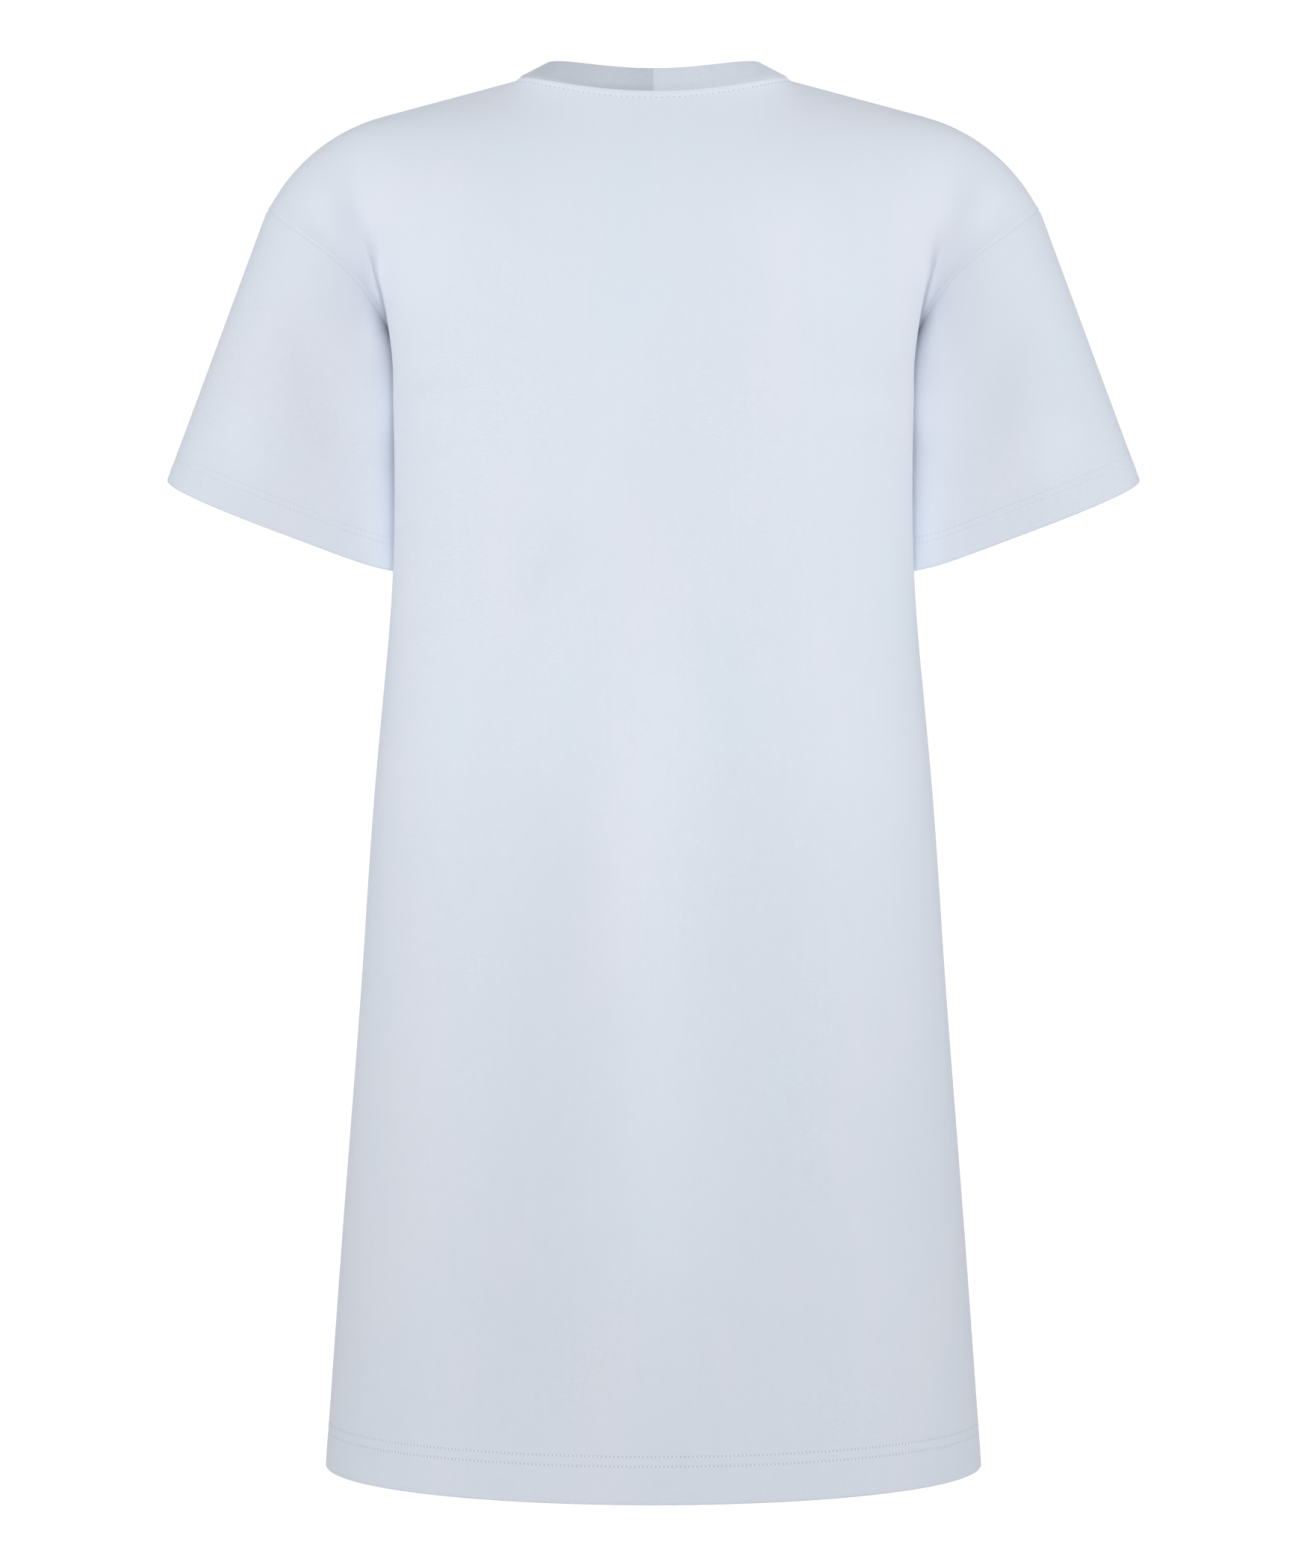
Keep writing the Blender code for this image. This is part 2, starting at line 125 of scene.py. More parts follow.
# Body: horizontal sections from the hem to the underarm. dent is how far each arm
# presses the side in, at an angle round from the centre back.
body = {
    "hemHeight": -0.9265,
    "underarm": -0.195,
    "sideSeam": math.radians(95),
    "dentAngle": math.radians(98),
    "dentSpread": math.radians(20),
    "dentPower": 4,
    "hemCells": 3,
    "skirtCells": 16,
    "skirtGrowth": 1.14,
    "skirtStart": 0.0305,
    "columns": ("height", "halfWidth", "back", "front", "squareness", "dent"),
    "rows": (
        (-0.9265, 0.2190, 0.146, 0.146, 2.00, 0.000),
        (-0.7800, 0.2085, 0.140, 0.141, 2.05, 0.000),
        (-0.6200, 0.1962, 0.134, 0.136, 2.10, 0.000),
        (-0.4500, 0.1848, 0.127, 0.135, 2.20, 0.001),
        (-0.3900, 0.1812, 0.125, 0.136, 2.28, 0.004),
        (-0.3400, 0.1790, 0.123, 0.137, 2.36, 0.010),
        (-0.3000, 0.1785, 0.122, 0.138, 2.44, 0.019),
        (-0.2600, 0.1787, 0.121, 0.138, 2.52, 0.027),
        (-0.2250, 0.1793, 0.120, 0.136, 2.58, 0.029),
        (-0.1950, 0.1800, 0.119, 0.133, 2.60, 0.020),
    ),
}

# Neck seam and the two shoulder seams
neck = {
    "halfWidth": 0.091,
    "backReach": 0.066,
    "frontReach": 0.080,
    "backDrop": 0.019,
    "frontDrop": 0.088,
    # How the seam rounds out across and downwards
    "backPowers": (1.0, 2.0),
    "frontPowers": (0.90, 1.6),
    "backRise": math.radians(62),
    "frontRise": math.radians(40),
    "cells": 8,
    "leanStart": 0.5,
    "leanEnd": 1.25,
}
shoulder = {
    "slope": math.radians(15),
    "straight": 0.094,
    "radius": 0.121,
    "end": math.radians(63.5),
    "forward": 0.005,
    "cells": 13,
}
armhole = {
    "reachBack": 0.060,
    "reachFront": 0.062,
    "bow": 0.010,
    "bowLow": 0.8,
    "point": 1.15,
    "pointPower": 3,
    "start": 0.60,
    "spread": 1.6,
    "cells": 12,
}

# The cloth above the underarm evens itself out between its seams
slack = {"passes": 12, "fadeRows": 2, "lessByArm": 0.9, "armStart": 0.45, "armEnd": 0.75}

# Fold beside each armhole, where the body's cloth stands over the arm's
armFold = {
    "clearColumns": 3,
    "columns": ("height", "side", "backDepth", "frontDepth", "width"),
    "rows": (
        (-0.2050, 0.181, 0.0000, 0.0000, 0.013),
        (-0.1765, 0.182, 0.0015, 0.0015, 0.013),
        (-0.1465, 0.184, 0.0045, 0.0040, 0.013),
        (-0.1265, 0.186, 0.0060, 0.0050, 0.014),
        (-0.0965, 0.189, 0.0045, 0.0035, 0.015),
        (-0.0615, 0.195, 0.0020, 0.0015, 0.017),
        (-0.0300, 0.202, 0.0000, 0.0000, 0.019),
    ),
}

# Soft creases, where they lie seen from behind or from the front: a trough or
# ridge this wide and long, turned from upright, and the painted light it gets, or painted shade where that
# is below nought.
# Small ones lie where the arms and the seat pull at it.
creases = {
    "back": (
        # x, z, turn, halfWidth, halfLength, height, paintedLight (painted shade where below nought)
        (0.000, -0.590, 0, 0.026, 0.210, 0.0010, 0.030),
        (0.072, -0.660, 4, 0.046, 0.200, -0.0014, -0.030),
        (-0.076, -0.630, -5, 0.044, 0.190, -0.0012, -0.026),
        (0.150, -0.640, 6, 0.034, 0.170, 0.0010, -0.012),
        (-0.154, -0.650, -6, 0.036, 0.180, 0.0012, -0.014),
        (0.141, -0.118, 24, 0.026, 0.045, 0.0012, 0.022),
        (-0.098, -0.122, -18, 0.030, 0.050, 0.0012, 0.020),
        (0.030, -0.250, 12, 0.018, 0.070, 0.0006, 0.012),
        (0.069, -0.334, 30, 0.012, 0.034, -0.0005, -0.022),
        (-0.045, -0.420, -14, 0.016, 0.060, -0.0005, -0.012),
        (0.110, -0.480, 8, 0.016, 0.080, -0.0006, -0.010),
        (0.023, -0.756, 82, 0.004, 0.014, -0.0003, -0.014),
        (0.018, -0.742, 96, 0.004, 0.012, -0.0003, -0.012),
        (0.146, -0.196, 84, 0.004, 0.018, 0.0004, 0.010),
        (0.142, -0.214, 78, 0.005, 0.022, -0.0005, -0.012),
        (0.146, -0.233, 88, 0.004, 0.016, 0.0004, 0.010),
        (0.139, -0.256, 80, 0.005, 0.024, -0.0005, -0.010),
        (-0.147, -0.204, -86, 0.004, 0.018, -0.0004, -0.010),
        (-0.141, -0.226, -80, 0.005, 0.024, 0.0005, 0.012),
        (-0.144, -0.247, -87, 0.004, 0.018, -0.0004, -0.012),
        (0.228, -0.214, -18, 0.013, 0.052, -0.0008, -0.028),
        (-0.230, -0.220, 18, 0.014, 0.050, -0.0008, -0.026),
        (0.268, -0.246, -20, 0.017, 0.026, 0.0006, 0.034),
        (-0.264, -0.252, 20, 0.018, 0.024, 0.0006, 0.030),
        (0.212, -0.104, -20, 0.012, 0.028, 0.0006, 0.034),
        (-0.216, -0.100, 22, 0.012, 0.026, 0.0006, 0.030),
        (0.184, -0.156, 8, 0.006, 0.032, 0.0012, 0.070),
        (-0.184, -0.156, -8, 0.006, 0.032, 0.0012, 0.070),
    ),
    "front": (
        (0.004, -0.560, 1, 0.030, 0.220, 0.0010, 0.020),
        (0.078, -0.620, 5, 0.045, 0.210, -0.0014, -0.024),
        (-0.074, -0.650, -4, 0.047, 0.200, -0.0013, -0.026),
        (0.152, -0.600, 6, 0.034, 0.180, 0.0012, -0.012),
        (-0.150, -0.630, -7, 0.036, 0.170, 0.0010, -0.012),
        (0.088, -0.230, 28, 0.030, 0.060, 0.0012, 0.014),
        (-0.092, -0.224, -26, 0.028, 0.062, 0.0012, 0.014),
        (0.040, -0.340, 16, 0.014, 0.060, -0.0006, -0.014),
        (-0.052, -0.370, -12, 0.015, 0.070, -0.0006, -0.012),
        (0.145, -0.205, 82, 0.005, 0.020, -0.0005, -0.012),
        (0.142, -0.232, 86, 0.004, 0.018, 0.0004, 0.010),
        (-0.146, -0.212, -84, 0.005, 0.022, 0.0005, 0.010),
        (-0.141, -0.240, -80, 0.004, 0.020, -0.0005, -0.012),
        (0.230, -0.222, -18, 0.014, 0.050, -0.0008, -0.022),
        (-0.228, -0.214, 18, 0.013, 0.052, -0.0008, -0.024),
    ),
    # On both sides alike, where a sleeve bears on the body's fold and fills out beside it. Mostly painted
    # light here, lightening the shaded crevice between sleeve and body
    "sleeve": (
        (0.177, -0.275, 0, 0.011, 0.085, 0.0060, 0.100),
        (0.190, -0.262, 0, 0.017, 0.080, 0.0008, 0.040),
        (0.183, -0.212, 0, 0.012, 0.038, 0.0070, -0.015),
        (0.174, -0.200, 8, 0.007, 0.036, 0.0030, 0.300),
        (0.171, -0.290, 0, 0.005, 0.070, 0.0018, 0.200),
    ),
    # The most that all of them together lift the cloth
    "most": 0.010,
    # How squarely the cloth faces back or front, and how far it is inside its seams,
    # where they come in
    "facing": (0, 0.35),
    "seamFade": (0.003, 0.026),
    "sleeveFade": (0.001, 0.014),
    # Painted shade by height, darker towards the hem and a little lighter at the shoulders, and painted
    # shade on the sleeves
    "heights": (-0.93, -0.83, -0.64, -0.45, -0.20, 0.0),
    "tones": (-0.105, -0.095, -0.045, 0.0, 0.0, 0.030),
    "paintedSleeveShade": -0.040,
}

# How the cloth is laid out: cells are cut this many times finer, and lines are
# added beside the seams, as shares of the last cell with how far each rolls in
cloth = {
    "finer": 4,
    "wall": 0.0013,
    "seamLines": ((0.0, 0.0012), (0.12, 0.00035), (0.28, 0.00006)),
    "seamGap": 0.00012,
    "foldTurns": (80, 55, 30, 0),
    "curveSamples": 600,
    "weld": 0.00001,
    "sharpTurn": math.radians(55),
}

# Turned-up hems, each with two rows of twin-needle stitches above its fold
hem = {
    "depth": 0.029,
    "rowHeights": (0.0242, 0.0304),
    "stitchPitch": 0.00263,
    "between": (0.004, 0.008, 0.012, 0.016, 0.020, 0.0273),
    "beside": (-0.0016, -0.0007, 0, 0.0007, 0.0016),
    "groove": 0.00006,
    "grooveWidth": 0.0009,
    "plump": 0.00014,
    "plumpWidth": 0.0016,
    # Plump below the rows too: how far up and how widely, as shares of the lower row's height
    "plumpBelow": (0.55, 0.4),
    "stitchLength": 0.0019,
    "stitchWidth": 0.00042,
}
cuff = {
    "outer": (0.3275, -0.018, -0.2665),
    "inner": (0.1680, -0.018, -0.3265),
    "halfDepth": 0.052,
    "squareness": 2.4,
    "innerSquareness": 4.0,
    "tilt": math.radians(10),
    "depth": 0.022,
    "rowHeights": (0.0175, 0.0218),
    "stitchPitch": 0.00263,
    "between": (0.004, 0.008, 0.012),
    "cells": 18,
}


def smoothStep(start, end, value):
    t = np.clip((np.asarray(value, float) - start) / (end - start), 0, 1)
    return t * t * (3 - 2 * t)


def unit(vectors):
    return vectors / np.linalg.norm(vectors, axis=-1, keepdims=True)


def bent(values, power):
    return np.sign(values) * np.abs(values) ** power


def tableAt(table, places):
    # Smooth curves through a table's columns, read at one or more heights
    rows = np.array(table["rows"])
    knots = rows[:, 0]
    slopes = np.gradient(rows, knots, axis=0)
    places = np.clip(np.asarray(places, float), knots[0], knots[-1])
    i = np.clip(np.searchsorted(knots, places) - 1, 0, len(knots) - 2)
    step = np.asarray(knots[i + 1] - knots[i])[..., None]
    t = np.asarray(places - knots[i])[..., None] / step
    values = (2 * t**3 - 3 * t**2 + 1) * rows[i] + (t**3 - 2 * t**2 + t) * step * slopes[i]
    values = values + (3 * t**2 - 2 * t**3) * rows[i + 1] + (t**3 - t**2) * step * slopes[i + 1]
    return {name: values[..., k] for k, name in enumerate(table["columns"])}


def evenly(points, count):
    # count + 1 points at equal steps along a line of many points
    steps = np.linalg.norm(np.diff(points, axis=0), axis=1)
    run = np.concatenate([[0], np.cumsum(steps)])
    wanted = np.linspace(0, run[-1], count + 1)
    return np.stack([np.interp(wanted, run, points[:, k]) for k in range(3)], axis=1)


def bodyRow(height, angles):
    # angles run from 0 at the centre back to half a turn at the centre front
    at = tableAt(body, height)
    power = 2 / at["squareness"]
    along = bent(np.cos(angles), power)
    reach = np.where(along > 0, at["back"], at["front"])
    pressed = np.exp(-(((angles - body["dentAngle"]) / body["dentSpread"]) ** body["dentPower"]))
    wide = at["halfWidth"] - at["dent"] * pressed
    x = wide * np.abs(np.sin(angles)) ** power
    return np.stack([x, reach * along, np.full(len(angles), height)], axis=1)


def skirtRow(height, front):
    # Half a panel at one height, from the centre line round to the side seam
    angles = np.linspace(math.pi if front else 0, body["sideSeam"], cloth["curveSamples"])
    cells = (neck["cells"] + shoulder["cells"]) * cloth["finer"]
    return evenly(bodyRow(height, angles), cells)


def shoulderLength():
    return shoulder["straight"] + shoulder["radius"] * (shoulder["end"] - shoulder["slope"])


def shoulderLine(runs):
    slope, radius = shoulder["slope"], shoulder["radius"]
    straight = np.minimum(runs, shoulder["straight"])
    turned = slope + (runs - straight) / radius
    x = neck["halfWidth"] + straight * math.cos(slope) + radius * (np.sin(turned) - math.sin(slope))
    z = radius * (np.cos(turned) - math.cos(slope)) - straight * math.sin(slope)
    return np.stack([x, -shoulder["forward"] * runs / shoulderLength(), z], axis=1)


def neckLine(front, count):
    # From the centre round to the high point of the shoulder
    turns = np.linspace(math.pi / 2, 0, cloth["curveSamples"])
    reach = -neck["frontReach"] if front else neck["backReach"]
    drop = neck["frontDrop"] if front else neck["backDrop"]
    acrossPower, downPower = neck["frontPowers" if front else "backPowers"]
    x = neck["halfWidth"] * bent(np.cos(turns), acrossPower)
    z = -drop * bent(np.sin(turns), downPower)
    return evenly(np.stack([x, reach * np.sin(turns), z], axis=1), count)


def topRow(front):
    finer = cloth["finer"]
    runs = np.linspace(0, shoulderLength(), shoulder["cells"] * finer + 1)
    return np.concatenate([neckLine(front, neck["cells"] * finer), shoulderLine(runs)[1:]])


def armholePoint(share, front):
    # share runs from 0 at the underarm to 1 at the end of the shoulder seam
    under = bodyRow(body["underarm"], np.array([body["sideSeam"]]))[0]
    top = shoulderLine(np.array([shoulderLength()]))[0]
    up = (1 - math.cos(math.pi * share)) / 2
    up += armhole["point"] * share * (1 - share) ** armhole["pointPower"]
    reach = -armhole["reachFront"] if front else armhole["reachBack"]
    roundArm = math.sin(math.pi * share)
    inwards = unit(np.array([under[2] - top[2], 0, top[0] - under[0]]))
    bow = armhole["bow"] * roundArm**2 * (1 + armhole["bowLow"] * math.cos(math.pi * share))
    return under + (top - under) * up + inwards * bow + np.array([0, reach * roundArm, 0])


def hemHeights(edge):
    # Heights over the fold: the rounded fold itself, then lines beside the stitches
    half = cloth["wall"]
    fold = [half * (1 - math.sin(math.radians(turn))) for turn in cloth["foldTurns"]]
    stitched = [row + beside for row in edge["rowHeights"] for beside in hem["beside"]]
    return sorted(fold + list(edge["between"]) + stitched)


def yokeRows(front):
    # Above the underarm, where the outer columns swing to the armhole
    feet, heads = skirtRow(body["underarm"], front), topRow(front)
    neckRise = neck["frontRise"] if front else neck["backRise"]
    k = np.arange(len(feet))
    pastNeck = smoothStep(neck["leanStart"], neck["leanEnd"], k / cloth["finer"] / neck["cells"])
    endTurn = neckRise + (math.pi / 2 - neckRise) * pastNeck
    toArm = np.clip((k / (len(k) - 1) - armhole["start"]) / (1 - armhole["start"]), 0, 1)
    count = armhole["cells"] * cloth["finer"]
    rows = []
    for j in range(1, count + 1):
        turn = endTurn * j / count
        rise = np.sin(turn) / np.sin(endTurn)
        lean = (1 - np.cos(turn)) / (1 - np.cos(endTurn))
        row = feet + (heads - feet) * np.stack([rise, lean, rise], axis=1)
        swing = armholePoint(j / count, front) - row[-1]
        rows.append(row + swing * (toArm ** armhole["spread"])[:, None])
    return rows


def evenedOut(surface, cellRows):
    # Slack cloth evens itself out above the underarm, less so beside the arm
    underarm = body["hemCells"] + body["skirtCells"]
    up = smoothStep(underarm - slack["fadeRows"], underarm + slack["fadeRows"], cellRows)
    first = int(np.argmax(up > 0)) - 1
    part = surface[first:]
    toArm = np.abs(np.linspace(-1, 1, surface.shape[1]))
    across = 1 - slack["lessByArm"] * smoothStep(slack["armStart"], slack["armEnd"], toArm)
    weights = np.outer(up[first + 1 : -1], across[1:-1])[:, :, None]
    for _ in range(slack["passes"] * cloth["finer"] ** 2):
        aboveBelow = part[2:, 1:-1] + part[:-2, 1:-1]
        beside = part[1:-1, 2:] + part[1:-1, :-2]
        inner = part[1:-1, 1:-1]
        part[1:-1, 1:-1] = inner + ((aboveBelow + beside) / 4 - inner) * weights
    return surface


def armFolded(surface, front):
    # Presses the armhole folds in, and leaves the seams where they are
    inner = surface[:-1, 1:-1]
    at = tableAt(armFold, inner[..., 2])
    k = np.arange(1, surface.shape[1] - 1)
    offSeam = np.minimum(k, len(k) + 1 - k) / (armFold["clearColumns"] * cloth["finer"])
    away = (np.abs(inner[..., 0]) - at["side"]) / at["width"]
    depth = at["frontDepth" if front else "backDepth"] * np.exp(-(away**2))
    inner[..., 1] -= np.sign(inner[..., 1]) * depth * np.minimum(offSeam, 1)
    return surface


def withSeamLines(surface, sides, top):
    # Adds lines close beside the seams, so that the cloth can roll in there
    shares = [share for share, _ in cloth["seamLines"][1:]]
    if sides:
        left = [surface[:, :1] * (1 - s) + surface[:, 1:2] * s for s in shares]
        right = [surface[:, -1:] * (1 - s) + surface[:, -2:-1] * s for s in reversed(shares)]
        surface = np.concatenate([surface[:, :1], *left, surface[:, 1:-1], *right, surface[:, -1:]], axis=1)
    if top:
        upper = [surface[-1:] * (1 - s) + surface[-2:-1] * s for s in reversed(shares)]
        surface = np.concatenate([surface[:-1], *upper, surface[-1:]], axis=0)
    return surface


def panelSurface(front):
    # Rows from the hem up, columns from one side seam to the other
    finer, cells = cloth["finer"], body["skirtCells"]
    fromHem = hemHeights(hem)
    steps = np.arange(1, cells * finer + 1) / finer
    growth = body["skirtGrowth"]
    shares = (1 - growth**-steps) / (1 - growth ** -float(cells))
    start = body["hemHeight"] + body["skirtStart"]
    heights = [body["hemHeight"] + h for h in fromHem]
    heights += [start + (body["underarm"] - start) * share for share in shares]
    left = np.array([skirtRow(h, front) for h in heights] + yokeRows(front))
    surface = np.concatenate([left[:, :0:-1] * np.array([-1, 1, 1]), left], axis=1)
    yokeSteps = np.arange(1, armhole["cells"] * finer + 1) / finer
    above = np.concatenate([steps, cells + yokeSteps]) + body["hemCells"]
    cellRows = np.concatenate([np.zeros(len(fromHem)), above])
    surface = armFolded(evenedOut(surface, cellRows), front)
    return withSeamLines(surface, True, True)


def sleeveSurface():
    # Rows from the cuff up to the armhole, columns round the arm from the underarm
    count = armhole["cells"] * cloth["finer"]
    ring = [armholePoint(j / count, False) for j in range(count + 1)]
    ring += [armholePoint(j / count, True) for j in range(count - 1, -1, -1)]
    ring = np.array(ring)
    outer, inner = np.array(cuff["outer"]), np.array(cuff["inner"])
    across = (outer - inner) / 2
    along = cuff["halfDepth"] * np.array([0, math.cos(cuff["tilt"]), -math.sin(cuff["tilt"])])
    turns = np.linspace(0, 2 * math.pi, len(ring))[:, None]
    power = 2 / np.where(np.cos(turns) > 0, cuff["innerSquareness"], cuff["squareness"])
    edge = (outer + inner) / 2 + along * bent(np.sin(turns), power) - across * bent(np.cos(turns), power)
    length = np.linalg.norm(edge[count] - ring[count])
    low = [h / length for h in hemHeights(cuff)]
    upper = np.linspace(low[-1], 1, cuff["cells"] + 1)[1:]
    surface = np.array([edge * (1 - s) + ring * s for s in [*low, *upper]])
    return withSeamLines(surface, False, True)


def normalsOf(surface, tube):
    # Square to the cloth at each of its points
    upwards = np.gradient(surface, axis=0)
    if tube:
        wrapped = np.concatenate([surface[:, -2:-1], surface, surface[:, 1:2]], axis=1)
        across = (wrapped[:, 2:] - wrapped[:, :-2]) / 2
    else:
        across = np.gradient(surface, axis=1)
    return unit(np.cross(across, upwards))


def facingOut(surface, tube):
    # Turns the columns round where the cloth would face inwards
    centre = surface.mean(axis=1, keepdims=True) * np.array([1, 0 if not tube else 1, 1])
    outwards = np.sum(normalsOf(surface, tube) * (surface - centre))
    return surface if outwards > 0 else surface[:, ::-1]


def patternOf(surface, tube):
    # Flat lengths in metres: across from the centre or the underarm, up from the hem
    across = np.linalg.norm(np.diff(surface, axis=1), axis=2)
    across = np.concatenate([np.zeros((len(surface), 1)), np.cumsum(across, axis=1)], axis=1)
    if not tube:
        across = across - across[:, surface.shape[1] // 2][:, None]
    up = np.linalg.norm(np.diff(surface, axis=0), axis=2)
    up = np.concatenate([np.zeros((1, surface.shape[1])), np.cumsum(up, axis=0)], axis=0)
    return np.stack([across, up], axis=2)


def rolledIn(surface, normals, sides, top):
    # The cloth rolls in a little along its seams, and stops just short of them
    moved = surface.copy()
    rolls = [roll for _, roll in cloth["seamLines"]]
    for k, roll in enumerate(rolls):
        if sides:
            moved[:, k] -= normals[:, k] * roll
            moved[:, -1 - k] -= normals[:, -1 - k] * roll
        if top:
            moved[-1 - k] -= normals[-1 - k] * roll
    if sides:
        moved[:, 0] += unit(surface[:, 1] - surface[:, 0]) * cloth["seamGap"]
        moved[:, -1] += unit(surface[:, -2] - surface[:, -1]) * cloth["seamGap"]
    if top:
        moved[-1] += unit(surface[-2] - surface[-1]) * cloth["seamGap"]
    return moved


def hemShape(heights, edge):
    # Stitched lines sink in and the cloth between them stands up a little
    depth = np.zeros(len(heights))
    for row in edge["rowHeights"]:
        depth -= hem["groove"] * np.exp(-(((heights - row) / hem["grooveWidth"]) ** 2))
    low, high = edge["rowHeights"]
    depth += hem["plump"] * np.exp(-(((heights - (low + high) / 2) / hem["plumpWidth"]) ** 2))
    place, reach = (low * share for share in hem["plumpBelow"])
    depth += hem["plump"] * np.exp(-(((heights - place) / reach) ** 2))
    return depth


def onBothSides(rows):
    return tuple((way * x, z, way * turn, *rest) for x, z, turn, *rest in rows for way in (1, -1))


def creased(surface, pattern, normals, tube):
    # How far the soft creases lift the cloth, and the painted light and shade laid on with them, by height
    # and on the sleeves
    lift = np.zeros(surface.shape[:2])
    paintedShadingAndTone = np.interp(surface[..., 2], creases["heights"], creases["tones"])
    for side, way in (("back", 1), ("front", -1)):
        facing = smoothStep(*creases["facing"], normals[..., 1] * way)
        rows = creases[side] + (onBothSides(creases["sleeve"]) if tube else ())
        for x, z, turn, halfWidth, halfLength, height, paintedLight in rows:
            dx, dz = surface[..., 0] - x, surface[..., 2] - z
            c, s = math.cos(math.radians(turn)), math.sin(math.radians(turn))
            across, along = (dx * c + dz * s) / halfWidth, (dz * c - dx * s) / halfLength
            amount = np.exp(-(across**2) - along**4) * facing
            lift += amount * height
            paintedShadingAndTone += amount * paintedLight
    inside = pattern[-1, :, 1] - pattern[..., 1]
    if tube:
        paintedShadingAndTone += creases["paintedSleeveShade"]
    else:
        toSeam = np.minimum(pattern[:, -1:, 0] - pattern[..., 0], pattern[..., 0] - pattern[:, :1, 0])
        inside = np.minimum(inside, toSeam)
    lift *= smoothStep(*creases["sleeveFade" if tube else "seamFade"], inside)
    lift = creases["most"] * np.tanh(lift / creases["most"])
    return surface + normals * lift[..., None], paintedShadingAndTone


def clothPiece(name, surface, pattern, walls, tube, marks):
    # A grid laid on the surface, closed round an arm where it is a tube, and given
    # its wall inwards. marks are values at its points, for its material
    rows, columns = surface.shape[:2]
    bpy.ops.object.select_all(action="DESELECT")
    bpy.ops.mesh.primitive_grid_add(x_subdivisions=columns - 1, y_subdivisions=rows - 1, size=1)
    piece = bpy.context.object
    piece.name = name
    piece.data.name = name
    mesh = piece.data
    mesh.vertices.foreach_set("co", surface.reshape(-1))
    corners = np.empty(len(mesh.loops), dtype=np.int32)
    mesh.loops.foreach_get("vertex_index", corners)
    mesh.uv_layers.active.data.foreach_set("uv", pattern.reshape(-1, 2)[corners].reshape(-1))
    for label, values in marks.items():
        layer = mesh.attributes.new(label, "FLOAT", "POINT")
        layer.data.foreach_set("value", values.reshape(-1).astype(np.float32))
    group = piece.vertex_groups.new(name="wall")
    thickest = float(walls.max())
    for wall in np.unique(walls):
        rowsWith = np.nonzero(walls == wall)[0]
        index = (rowsWith[:, None] * columns + np.arange(columns)).reshape(-1)
        group.add(index.tolist(), float(wall / thickest), "REPLACE")
    if tube:
        bpy.ops.object.mode_set(mode="EDIT")
        bpy.ops.mesh.select_all(action="SELECT")
        bpy.ops.mesh.remove_doubles(threshold=cloth["weld"])
        bpy.ops.object.mode_set(mode="OBJECT")
    thicken = piece.modifiers.new("wall", "SOLIDIFY")
    thicken.thickness = thickest
    thicken.offset = -1
    thicken.vertex_group = "wall"
    bpy.ops.object.modifier_apply(modifier="wall")
    bpy.ops.object.shade_smooth_by_angle(angle=cloth["sharpTurn"])
    return piece


def sewOn(piece, node):
    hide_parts(node)
    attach(piece, "root")


def hemWalls(count, heights, edge):
    # Two layers below the hem's top, rounding into each other at the fold
    walls = np.full(count, cloth["wall"])
    walls[: len(heights)] = np.where(heights < edge["depth"], 2 * cloth["wall"], cloth["wall"])
    for k, turn in enumerate(cloth["foldTurns"]):
        walls[k] *= math.cos(math.radians(turn))
    return walls


def foldRounded(surface, normals):
    # The fold's outer side rounds in towards the middle of its two layers
    for k, turn in enumerate(cloth["foldTurns"]):
        surface[k] -= normals[k] * (1 - math.cos(math.radians(turn))) * cloth["wall"]
    return surface


def belowNeck(pattern):
    # How far each point of a panel is below the neck seam, and a metre elsewhere
    below = np.ones(pattern.shape[:2])
    middle = pattern.shape[1] // 2
    reach = neck["cells"] * cloth["finer"]
    columns = slice(middle - reach, middle + reach + 1)
    below[:, columns] = pattern[-1, columns, 1] - pattern[:, columns, 1]
    return below


def makePanel(name, front):
    surface = facingOut(panelSurface(front), False)
    pattern = patternOf(surface, False)
    surface, paintedShadingAndTone = creased(surface, pattern, normalsOf(surface, False), False)
    normals = normalsOf(surface, False)
    heights = np.array(hemHeights(hem))
    shaped = rolledIn(surface, normals, True, True)
    shaped[: len(heights)] += normals[: len(heights)] * hemShape(heights, hem)[:, None, None]
    shaped = foldRounded(shaped, normals)
    marks = {"paintedShadingAndTone": paintedShadingAndTone, "belowNeck": belowNeck(pattern)}
    piece = clothPiece(name + "Panel", shaped, pattern, hemWalls(len(surface), heights, hem), False, marks)
    sewOn(piece, name)
    return piece, surface, normals


def makeSleeve(name, mirrored):
    surface = sleeveSurface()
    if mirrored:
        surface = surface * np.array([-1, 1, 1])
    surface = facingOut(surface, True)
    pattern = patternOf(surface, True)
    surface, paintedShadingAndTone = creased(surface, pattern, normalsOf(surface, True), True)
    normals = normalsOf(surface, True)
    heights = np.array(hemHeights(cuff))
    shaped = rolledIn(surface, normals, False, True)
    shaped[: len(heights)] += normals[: len(heights)] * hemShape(heights, cuff)[:, None, None]
    shaped = foldRounded(shaped, normals)
    piece = clothPiece(name, shaped, pattern, hemWalls(len(surface), heights, cuff), True, {"paintedShadingAndTone": paintedShadingAndTone})
    return piece, surface, normals


backPiece, backSurface, backNormals = makePanel("back", False)
frontPiece, frontSurface, frontNormals = makePanel("front", True)
leftSleeve, leftSurface, leftNormals = makeSleeve("leftSleeve", False)
rightSleeve, rightSurface, rightNormals = makeSleeve("rightSleeve", True)
sewOn(leftSleeve, "sleeve_left")
sewOn(rightSleeve, "sleeve_right")
print("nightshirt: panels and sleeves cut")


